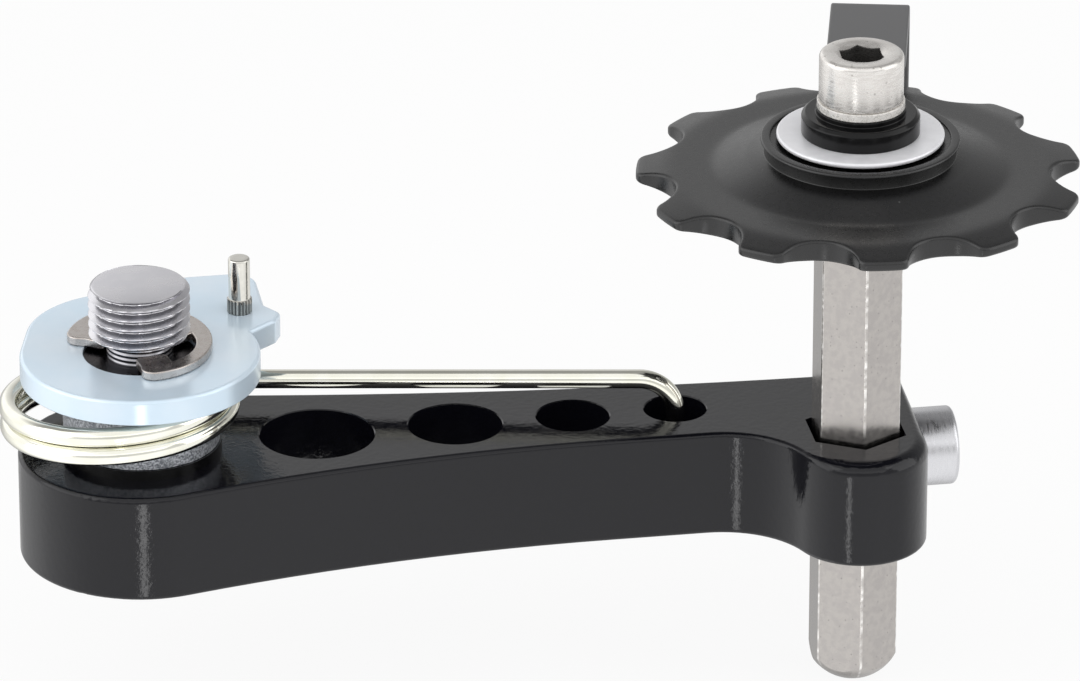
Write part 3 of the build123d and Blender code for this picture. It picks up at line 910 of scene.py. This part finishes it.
@dataclass
class ArmGroup:
    """Drilled arm whose holes have narrow rims and whose boss has a round upper edge."""

    hole_places: tuple[float, ...] = (17.4, 31.2, 43.0, 53.3)
    hole_radii: tuple[float, ...] = (5.67, 4.68, 3.64, 3.1)
    solid_rim: float = 0.4
    rim: float = 0.1
    near: float = 0.02
    boss_place: tuple[float, float] = (70.1, -9.73)
    boss_radius: float = 6.7
    boss_start: float = -158.0
    boss_full: float = -115.0
    solid_edge: float = 0.5
    boss_edge: float = 1.4
    bar_place: tuple[float, float] = (70.1, -7.33)
    bar_hole: float = 4.06
    bar_mouth: float = 0.5

    def narrowed(self, points: np.ndarray) -> np.ndarray:
        """Draw in each hole's chamfer: its wide circle to the rim's radius, its narrow one to its depth.

        Args:
            points: corners of the arm, one per row.

        Returns:
            The corners with the rims moved.
        """
        moved = points.copy()
        bottom, top = points[:, 2].min(), points[:, 2].max()
        depth = np.minimum(points[:, 2] - bottom, top - points[:, 2])
        inwards = np.where(points[:, 2] > (bottom + top) / 2, -1.0, 1.0)
        for place, radius in zip(self.hole_places, self.hole_radii):
            across = points[:, :2] - (place, 0.0)
            distance = np.linalg.norm(across, axis=1)
            wide = (np.abs(distance - radius - self.solid_rim) < self.near) & (depth < self.near)
            narrow = (np.abs(distance - radius) < self.near) & (np.abs(depth - self.solid_rim) < self.near)
            ratio = (radius + self.rim) / (radius + self.solid_rim)
            moved[wide, :2] = across[wide] * ratio + (place, 0.0)
            moved[narrow, 2] += inwards[narrow] * (self.rim - self.solid_rim)
        return moved

    def eased(self, points: np.ndarray) -> np.ndarray:
        """Grow the upper edge's round at the boss and open the mouth of the bar's hole.

        A point of the round is moved away from the sharp corner above the boss's wall by the ratio of the
        two radii, so that the round keeps its shape. The ratio grows smoothly by angle, from 1 where the neck
        meets the boss. The mouth's corners are moved out from the bar.

        Args:
            points: corners of the arm, one per row.

        Returns:
            The corners with the boss's edge and the mouth moved.
        """
        moved = points.copy()
        depth = points[:, 2].max() - points[:, 2]
        out = points[:, :2] - self.boss_place
        reach = np.linalg.norm(out, axis=1)
        angle = np.degrees(np.arctan2(out[:, 1], out[:, 0]))
        share = np.clip((angle - self.boss_start) / (self.boss_full - self.boss_start), 0, 1)
        grow = (self.boss_edge / self.solid_edge - 1) * share**2 * (3 - 2 * share)
        half = self.solid_edge / 2
        edge = (depth < self.solid_edge + self.near) & (out[:, 1] < self.near)
        edge &= np.abs(reach - self.boss_radius + half) < half + self.near
        inwards = grow * (reach - self.boss_radius) / np.maximum(reach, self.near)
        moved[edge, :2] += (out * inwards[:, None])[edge]
        moved[edge, 2] -= (grow * depth)[edge]
        across = points[:, :2] - self.bar_place
        corner = self.bar_hole / math.cos(SIXTH / 2) + self.near
        mouth = (depth < self.near) & (np.linalg.norm(across, axis=1) < corner)
        moved[mouth, :2] += across[mouth] * self.bar_mouth / self.bar_hole
        return moved

    def arm(self, source: Piece, finish: Material) -> None:
        """Join the node's loose triangles at equal corners, move its edges and keep the node's own normals.

        Args:
            source: object of the CAD node.
            finish: material of the arm.
        """
        solid = source.data
        points = np.empty(len(solid.vertices) * 3)
        solid.vertices.foreach_get("co", points)
        corners = np.empty(len(solid.loops), np.int32)
        solid.loops.foreach_get("vertex_index", corners)
        normals = np.empty(len(solid.loops) * 3, np.float32)
        solid.corner_normals.foreach_get("vector", normals)
        places = np.round(points.reshape(-1, 3) / MM, decimals=3)
        joined, index = np.unique(places, axis=0, return_inverse=True)
        faces = index.reshape(-1)[corners].reshape(-1, 3)
        mesh = bpy.data.meshes.new("drilled_arm")
        mesh.from_pydata((self.eased(self.narrowed(joined)) * MM).tolist(), [], faces.tolist())
        mesh.shade_smooth()
        mesh.normals_split_custom_set(normals.reshape(-1, 3).tolist())
        stand_in(placed(mesh.name, mesh), "arm", "arm", finish)


@dataclass
class BarGroup:
    """Hexagonal chainline bar with rounded edges and a domed lower end."""

    flats: float = 8.0
    edge: float = 0.35
    edge_points: int = 9
    flat_points: int = 9
    flat_gap: float = 0.012
    dome: float = 4.9
    dome_rows: int = 14
    dome_first: float = 0.04
    top_edge: float = 0.5
    top_inset: float = 0.2
    glint_rows: int = 120
    # Seed of the painted glints, and the share of each rounded edge that they cover.
    glint_seed: int = 5
    glint_share: float = 0.6

    def outline(self, off: np.ndarray) -> np.ndarray:
        """Rounded hexagon by angle: the flats, cut by an arc where the corner's radius would pass it.

        Args:
            off: angles from the nearest corner in radians.

        Returns:
            Radius at each angle.
        """
        flat = self.flats / 2 / np.cos(SIXTH / 2 - off)
        centre = (self.flats / 2 - self.edge) / math.cos(SIXTH / 2)
        reach = np.sqrt(np.maximum(self.edge**2 - (centre * np.sin(off)) ** 2, 0))
        corner = centre * np.cos(off) + reach
        return np.where(centre * np.sin(off) < self.edge * math.sin(SIXTH / 2), corner, flat)

    def bar(self, finish: Material) -> None:
        """Rings of the rounded hexagon, closed below by a ball that each direction meets at its own height.

        Each edge carries painted glints at random along its length, from a seed.

        Args:
            finish: material of the bar.
        """
        low, high = in_mm(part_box("chainline_bar"))
        middle = (low + high) / 2
        centre = (self.flats / 2 - self.edge) / math.cos(SIXTH / 2)
        edge_turn = math.asin(self.edge * math.sin(SIXTH / 2) / centre)
        beside = edge_turn + self.flat_gap
        edge = np.linspace(-edge_turn, edge_turn, self.edge_points)
        near = np.concatenate([edge, np.linspace(beside, SIXTH - beside, self.flat_points)])
        angles = np.concatenate([near + math.pi / 2 + k * SIXTH for k in range(6)])
        off = np.abs((angles - math.pi / 2 + SIXTH / 2) % SIXTH - SIXTH / 2)
        outline = self.outline(off)
        lean = np.arcsin(np.clip(outline / self.dome, 0, 1))
        steps = np.linspace(self.dome_first, 1, self.dome_rows)[:, None]
        dome_radius = self.dome * np.sin(lean * steps)
        dome_height = low[2] + self.dome * (1 - np.cos(lean * steps))
        level = np.ones((1, len(angles)))
        foot, head = dome_height.max() + self.top_edge, high[2] - self.top_edge
        shaft = np.linspace(foot, head, self.glint_rows)[:, None]
        top_radius = np.minimum(outline, self.flats / 2 - self.top_inset)
        radius = np.concatenate([dome_radius, outline * np.ones_like(shaft), [top_radius]])
        height = np.concatenate([dome_height, shaft * level, high[2] * level])
        # Painted glints: a random strength per ring and edge, on the middle of each rounded edge.
        glints = np.random.default_rng(self.glint_seed).random((len(radius), 6)) ** 2
        bright = np.where(off < edge_turn * self.glint_share, np.repeat(glints, len(near), axis=1), 0.0)
        piece = skin("hexagon_bar", turned(radius, height, angles, (*middle[:2], 0)), crease=25, shade=bright)
        stand_in(piece, "chainline_bar", "bar", finish)


@dataclass
class PulleyGroup:
    """Toothed pulley wheel with soft edges."""

    teeth: int = 11
    pitch: float = 12.7
    seat: float = 3.95
    seat_points: int = 14
    phase: float = 3.0
    tip_radius: float = 21.85
    tip_points: int = 6
    tip_corner: float = 1.0
    corner_points: int = 9
    tip_half: float = 0.45
    rim_half: float = 1.1
    rim_rows: int = 9
    soft: float = 0.07
    taper_radius: float = 18.8
    crease_radius: float = 14.5
    cone_half: float = 2.6
    cone_foot: float = 1.2
    cone_first: float = 1.5
    cone_last: float = 17.2
    cone_rows: int = 22
    hub_radius: float = 9.75
    hub_half: float = 4.2
    hub_band: float = 0.95
    recess_half: float = 3.95
    recess_edge: float = 0.05
    bore: float = 4.06
    bore_edge: float = 0.15
    band_inner_edge: float = 0.12
    band_outer_edge: float = 0.2
    lip: float = 0.3
    lip_edge: float = 0.08
    groove: float = 0.35
    groove_slope: float = 0.1
    groove_edge: float = 0.05
    groove_foot: float = 0.1
    edge: float = 0.3
    edge_rows: int = 6
    near: float = 0.02

    def tooth(self) -> np.ndarray:
        """Half of one tooth gap: roller seat arc, corner arc and tip arc, each touching the next.

        Returns:
            Points from the seat's middle to the tooth's middle, about the wheel's axis, with the seat on +X.
        """
        centre = self.pitch / (2 * math.sin(math.pi / self.teeth))
        inner = self.tip_radius - self.tip_corner
        apart = self.seat + self.tip_corner
        swing = math.acos((inner**2 + centre**2 - apart**2) / (2 * inner * centre))
        corner = inner * np.array([math.cos(swing), math.sin(swing)])
        to_corner = math.atan2(corner[1], corner[0] - centre)
        arcs = (
            ((centre, 0.0), self.seat, np.linspace(math.pi, to_corner, self.seat_points)),
            (corner, self.tip_corner, np.linspace(to_corner - math.pi, swing, self.corner_points)[1:]),
            ((0.0, 0.0), self.tip_radius, np.linspace(swing, math.pi / self.teeth, self.tip_points)[1:]),
        )
        return np.concatenate([
            middle + radius * np.stack([np.cos(turn), np.sin(turn)], axis=1) for middle, radius, turn in arcs
        ])

    def outline(self) -> np.ndarray:
        """All teeth: half a gap, its mirror image, and both turned round the axis by one tooth at a time.

        Returns:
            Points of the closed outline, anticlockwise.
        """
        half = self.tooth()
        gap = np.concatenate([half[-2:0:-1] * np.array([1.0, -1.0]), half])
        step = FULL_TURN / self.teeth
        turn = math.radians(self.phase) + step / 2 + step * np.arange(self.teeth)
        cos, sin = np.cos(turn), np.sin(turn)
        spin = np.stack([np.stack([cos, -sin], -1), np.stack([sin, cos], -1)], -2)
        return np.einsum("kij,nj->kni", spin, gap).reshape(-1, 2)

    def half_height(self, radius: np.ndarray | float) -> np.ndarray:
        """Half thickness by radius: a cone, a level rim and a taper to the tips, with the creases softened.

        Args:
            radius: distances from the axis.

        Returns:
            Half thickness at each distance.
        """
        slope = (self.cone_half - self.rim_half) / (self.crease_radius - self.hub_radius)
        rise = self.soft * np.logaddexp(0, slope * (self.crease_radius - radius) / self.soft)
        fall = (self.rim_half - self.tip_half) / (self.tip_radius - self.taper_radius)
        drop = self.soft * np.logaddexp(0, fall * (radius - self.taper_radius) / self.soft)
        return self.rim_half + rise - drop

    def hub(self) -> np.ndarray:
        """Profile of the upper half from the bore over the recess and the lip, down the groove to the cone.

        Returns:
            Distance from the axis and height of each point.
        """
        inner = self.hub_radius - self.hub_band
        under = self.hub_half - self.lip
        root = self.hub_radius - self.groove
        foot = self.hub_radius + self.cone_foot
        return rounded([
            (self.bore, 0, 0),
            (self.bore, self.recess_half, self.bore_edge),
            (inner, self.recess_half, self.recess_edge),
            (inner, self.hub_half, self.band_inner_edge),
            (self.hub_radius, self.hub_half, self.band_outer_edge),
            (self.hub_radius, under, self.lip_edge),
            (root, under - self.groove_slope, self.groove_edge),
            (root, float(self.half_height(self.hub_radius)), self.groove_foot),
            (foot, float(self.half_height(foot)), 0),
        ])

    def wheel(self, finish: Material) -> None:
        """Rings from the bore over the hub's lip and the cone to the toothed edge, and back below.

        Each rim ring is drawn in from the outline along its normal and lifted by the half thickness, so that
        the edge is a quarter round.

        Args:
            finish: material of the wheel.
        """
        outline = self.outline()
        along = np.roll(outline, -1, axis=0) - np.roll(outline, 1, axis=0)
        normal = np.stack([along[:, 1], -along[:, 0]], axis=1)
        normal /= np.linalg.norm(normal, axis=1)[:, None]
        angles = np.arctan2(outline[:, 1], outline[:, 0])
        hub = self.hub()
        cone = np.linspace(self.hub_radius + self.cone_first, self.cone_last, self.cone_rows)
        profile = np.concatenate([hub, np.stack([cone, self.half_height(cone)], axis=1)])
        round_rows = turned(profile[:, 0], profile[:, 1], angles, (0, 0, 0))
        inside = round_rows[-1, :, :2]
        inset = outline - normal * self.edge
        spread = inside + (inset - inside) * np.linspace(0, 1, self.rim_rows)[1:, None, None]
        quarter = np.linspace(0, math.pi / 2, self.edge_rows)[1:, None, None]
        flat = np.concatenate([spread, inset + normal * self.edge * np.sin(quarter)])
        thick = self.half_height(np.linalg.norm(flat, axis=-1))
        thick[len(spread):] += self.edge * (np.cos(quarter[..., 0]) - 1)
        rim_rows = np.concatenate([flat, thick[..., None]], axis=-1)
        edge_row = np.concatenate([outline, np.zeros((len(outline), 1))], axis=1)[None]
        upper = np.concatenate([round_rows, rim_rows])
        lower = (upper * np.array([1, 1, -1]))[:0:-1]
        place = in_mm(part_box("pulley_bush")).mean(axis=0)
        place[2] = in_mm(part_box("pulley_wheel")).mean(axis=0)[2]
        rows = np.concatenate([upper, edge_row, lower]) + place
        # Painted shade: the groove under the hub's lip and the recess inside the band are darkened, on both
        # faces.
        under = (hub[:, 1] < self.hub_half - self.lip) & (hub[:, 0] < self.hub_radius)
        inner = hub[:, 0] < self.hub_radius - self.hub_band + self.near
        painted_shade = np.where(under | inner, 1.0, 0.0)
        shade = np.concatenate([painted_shade, np.zeros(len(rows) - 2 * len(painted_shade) + 1), painted_shade[:0:-1]])
        piece = skin("toothed_wheel", rows, ring=True, crease=38, shade=shade)
        stand_in(piece, "pulley_wheel", "pulley", finish)


@dataclass(frozen=True)
class SoftBox:
    """Soft rectangular lamp."""

    name: str
    place: Triple
    width: float
    height: float
    power: float

    def hang(self, target: Triple) -> None:
        """Add the lamp, facing a point.

        Args:
            target: point that it faces.
        """
        data = bpy.data.lights.new(self.name, "AREA")
        data.shape = "RECTANGLE"
        data.size = self.width * MM
        data.size_y = self.height * MM
        data.energy = self.power
        lamp = placed(self.name, data)
        lamp.location = Vector(self.place) * MM
        lamp.rotation_mode = "QUATERNION"
        lamp.rotation_quaternion = (Vector(target) - Vector(self.place)).to_track_quat("-Z", "Y")


@dataclass
class Studio:
    """Floor, soft lamps, pale surroundings and the camera at the photograph's angle."""

    eye: Triple = (-91.204, -782.529, 361.54)
    azimuth: float = -9.497
    elevation: float = 24.72
    focal_pixels: float = 8854.0
    picture_pixels: float = 1080.0
    sensor: float = 36.0
    floor_height: float = -39.36
    floor_half: float = 4000.0
    floor_white: float = 0.9
    surround: float = 0.5
    shadow: float = 0.1
    ceiling: float = 0.35
    horizon: tuple[float, float] = (-0.12, 0.12)
    ceiling_rim: tuple[float, float] = (0.46, 0.72)
    low_stops: tuple[Stop, ...] = ((0, 1.08), (40, 1.0), (80, 0.6), (112, 0.6), (150, 1.28), (180, 1.4),
                                   (215, 1.25), (250, 1.25), (300, 1.28), (335, 1.08), (360, 1.08))
    high_stops: tuple[Stop, ...] = ((0, 0.5), (50, 0.45), (66, 0.5), (76, 0.7), (88, 0.88), (100, 1.3),
                                    (130, 1.3), (180, 1.1), (220, 0.8), (258, 0.7), (300, 0.8), (360, 0.5))
    middle: Triple = (40.0, 0.0, -5.0)
    lamps: tuple[SoftBox, ...] = (
        SoftBox("front_box", (-20.0, -340.0, 520.0), 1150, 800, 2.2),
        SoftBox("left_box", (-520.0, -80.0, 260.0), 600, 640, 1.4),
        SoftBox("right_box", (600.0, -160.0, 260.0), 520, 620, 1.3),
    )
    strip_place: tuple[float, float] = (-21.0, -177.0)
    strip_half: float = 8.5
    strip_foot: float = -150.0
    strip_head: float = -50.0
    strip_power: float = 5.4

    def camera(self) -> None:
        """Place the camera and make it the scene's own."""
        data = bpy.data.cameras.new("camera")
        data.lens = self.focal_pixels / self.picture_pixels * self.sensor
        data.sensor_width = self.sensor
        data.sensor_fit = "HORIZONTAL"
        camera = placed("camera", data)
        camera.location = Vector(self.eye) * MM
        turn, lift = math.radians(self.azimuth), math.radians(self.elevation)
        ahead = Vector((-math.sin(turn) * math.cos(lift), math.cos(turn) * math.cos(lift), -math.sin(lift)))
        camera.rotation_mode = "QUATERNION"
        camera.rotation_quaternion = ahead.to_track_quat("-Z", "Y")
        bpy.context.scene.camera = camera

    @staticmethod
    def sheet(name: str, corners: Sequence[Triple], finish: Material) -> Piece:
        """Add a flat sheet with four corners.

        Args:
            name: name of the sheet.
            corners: its corners in turn.
            finish: material of the sheet.

        Returns:
            The new object.
        """
        mesh = bpy.data.meshes.new(name)
        mesh.from_pydata([Vector(corner) * MM for corner in corners], [], [(0, 1, 2, 3)])
        sheet = placed(name, mesh)
        dress(sheet, finish)
        return sheet

    def strip(self) -> None:
        """Add a narrow upright glow in front, below the part, that only mirrors see."""
        glow = blank("strip_glow")
        tree = glow.node_tree
        light = added(tree, "Emission", {"Strength": self.strip_power})
        tree.links.new(light.outputs[0], tree.nodes["Material Output"].inputs["Surface"])
        middle, front = self.strip_place
        left, right = middle - self.strip_half, middle + self.strip_half
        foot, head = self.strip_foot, self.strip_head
        corners = ((left, front, foot), (right, front, foot), (right, front, head), (left, front, head))
        strip = self.sheet("strip", corners, glow)
        strip.visible_camera = False
        strip.visible_diffuse = False
        strip.visible_shadow = False

    @staticmethod
    def by_bearing(tree: Tree, bearing: Socket, stops: Sequence[Stop]) -> Socket:
        """Brightness by bearing, straight between stops.

        Args:
            tree: node tree of the world.
            bearing: share of a full turn, anticlockwise from +X.
            stops: bearing in degrees and brightness of each stop.

        Returns:
            Output socket with the brightness.
        """
        ramp = added(tree, "ValToRGB", {"Fac": bearing})
        elements = ramp.color_ramp.elements
        elements.remove(elements[1])
        for index, (degrees, level) in enumerate(stops):
            element = elements[0] if index == 0 else elements.new(degrees / 360)
            element.position = degrees / 360
            element.color = grey(level)
        return ramp.outputs["Color"]

    @staticmethod
    def above(tree: Tree, height: Socket, span: tuple[float, float]) -> Socket:
        """Share from 0 to 1 that grows smoothly over a span of heights.

        Args:
            tree: node tree of the world.
            height: upward part of the direction.
            span: heights at which the growth starts and ends.

        Returns:
            Output socket with the share.
        """
        inputs = {"Value": height, "From Min": span[0], "From Max": span[1]}
        return added(tree, "MapRange", inputs, interpolation_type="SMOOTHSTEP").outputs["Result"]

    def room(self, tree: Tree) -> Socket:
        """What shiny pieces mirror: pale all round, by bearing, under a dim ceiling.

        Args:
            tree: node tree of the world.

        Returns:
            Output socket with the brightness by direction.
        """
        place = added(tree, "TexCoord", {}).outputs["Generated"]
        parts = added(tree, "SeparateXYZ", {0: place}).outputs
        turn = computed(tree, "ARCTAN2", parts["Y"], parts["X"])
        bearing = computed(tree, "FRACT", computed(tree, "DIVIDE", turn, FULL_TURN))
        low = self.by_bearing(tree, bearing, self.low_stops)
        high = self.by_bearing(tree, bearing, self.high_stops)
        side = mixed(tree, self.above(tree, parts["Z"], self.horizon), low, high)
        return mixed(tree, self.above(tree, parts["Z"], self.ceiling_rim), side, grey(self.ceiling))

    def surroundings(self) -> None:
        """Add surroundings: white where looked at, the room where mirrored, a plain grey light elsewhere."""
        world = bpy.data.worlds.new("surroundings")
        world.use_nodes = True
        bpy.context.scene.world = world
        tree = world.node_tree
        path = added(tree, "LightPath", {}).outputs
        mirrored = mixed(tree, path["Is Glossy Ray"], grey(self.surround), self.room(tree))
        straight = computed(tree, "MAXIMUM", path["Is Camera Ray"], path["Is Transmission Ray"])
        looked_at = mixed(tree, straight, mirrored, grey(1.0))
        tree.links.new(looked_at, tree.nodes["Background"].inputs["Color"])

    def floor(self) -> None:
        """Add a pale floor that keeps a faint shadow and is white where it is seen."""
        white = blank("floor_white")
        tree = white.node_tree
        shader = tree.nodes["Principled BSDF"]
        shader.inputs["Base Color"].default_value = grey(self.floor_white)
        shader.inputs["Roughness"].default_value = 1.0
        shader.inputs["Specular IOR Level"].default_value = 0.0
        path = added(tree, "LightPath", {}).outputs
        mirrored = computed(tree, "MAXIMUM", path["Is Camera Ray"], path["Is Glossy Ray"])
        seen = computed(tree, "MAXIMUM", mirrored, path["Is Transmission Ray"])
        share = added(tree, "MapRange", {"Value": seen, "To Max": 1.0 - self.shadow}).outputs["Result"]
        glow = added(tree, "Emission", {"Color": grey(1.0)})
        mix = added(tree, "MixShader", {0: share, 1: shader.outputs[0], 2: glow.outputs[0]})
        tree.links.new(mix.outputs[0], tree.nodes["Material Output"].inputs["Surface"])
        half, height = self.floor_half, self.floor_height
        corners = ((-half, -half, height), (half, -half, height), (half, half, height), (-half, half, height))
        floor = self.sheet("floor", corners, white)
        floor.visible_glossy = False

    def build(self) -> None:
        """Set the scene's look and add everything of the studio."""
        bpy.context.scene.view_settings.view_transform = "Standard"
        self.surroundings()
        self.floor()
        self.strip()
        for lamp in self.lamps:
            lamp.hang(self.middle)
        self.camera()


def main() -> None:
    """Load the frame, dress its nodes, add the fine pieces and light them."""
    logging.basicConfig(level=logging.INFO, format="%(name)s: %(message)s")
    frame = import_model()
    made = {finish: finish.build() for finish in dict.fromkeys(FINISHES.values())}
    for node, finish in FINISHES.items():
        dress(frame["nodes"][node], made[finish])
        LOG.info("%s is dressed in %s", node, finish.name)
    pivot = PivotGroup()
    pivot.bolt(made[BOLT_STEEL])
    pivot.pin(made[PIN_NICKEL])
    SpringGroup().wire(made[WIRE_PALE_YELLOW])
    BarGroup().bar(made[BAR_NICKEL])
    PulleyGroup().wheel(made[WHEEL_GREY])
    ArmGroup().arm(frame["nodes"]["arm"], made[ARM_BLACK])
    CapScrew("wheel_screw", "pulley_bolt", "screw_steel", "bar", Along.Z).build(made[SCREW_STEEL])
    CapScrew("clamp_screw", "clamp_bolt", "screw_steel", "arm", Along.X).build(made[CLAMP_STEEL])
    DustCap("lower_dust_cap").build(made[CAP_BRIGHT])
    DustCap("upper_dust_cap").build(made[CAP_BRIGHT])
    softened = (
        SoftEdges("stop_plate", "zinc_plate", "hanger_side", width=0.25),
        SoftEdges("retaining_clip", "clip_steel", "hanger_side", width=0.16),
        SoftEdges("chain_guard", "guard_grey", "bar", width=0.2),
        SoftEdges("upper_spacer", "spacer_black", "bar", width=0.1),
        SoftEdges("lock_washer", "screw_steel", "bar", width=0.28),
    )
    for piece in softened:
        piece.build(frame["nodes"][piece.node], made[FINISHES[piece.node]])
    Studio().build()
    bpy.context.view_layer.update()


if __name__ == "__main__":
    main()
